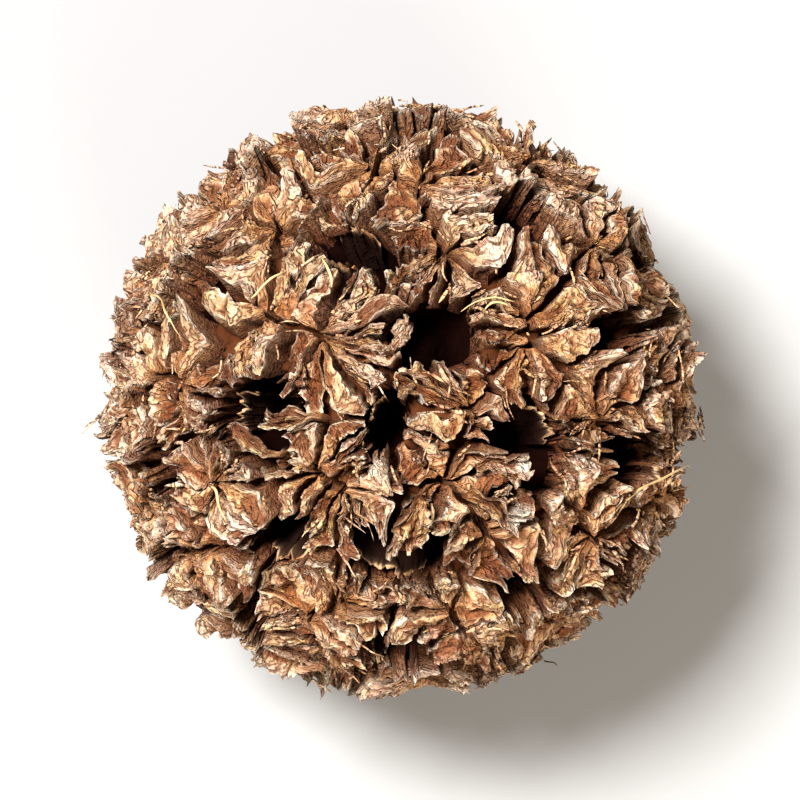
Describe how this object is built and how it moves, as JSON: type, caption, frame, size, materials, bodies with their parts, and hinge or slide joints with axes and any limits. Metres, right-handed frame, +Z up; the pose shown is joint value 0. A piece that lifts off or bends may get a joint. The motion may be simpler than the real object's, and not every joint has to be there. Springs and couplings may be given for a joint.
{
  "type": "sweetgum seed ball",
  "caption": "Dried round woody seed ball with dark open capsule mouths ringed by blunt corky scales, resting on a small worn flat spot.",
  "frame": {"origin": "on the rest plane, under the middle of the ball's bounding box in X and Y", "axes": "+Z up from the flat spot to the side that the picture shows, +X to the picture's right, +Y to the picture's top"},
  "size_m": [0.0294, 0.0296, 0.0287],
  "materials": {
    "seed_head": "dry, matte, corky wood with reddish-brown cracks and near-black capsule mouths"
  },
  "bodies": {
    "root": {"seed_ball": "seed_head"}
  },
  "joints": []
}
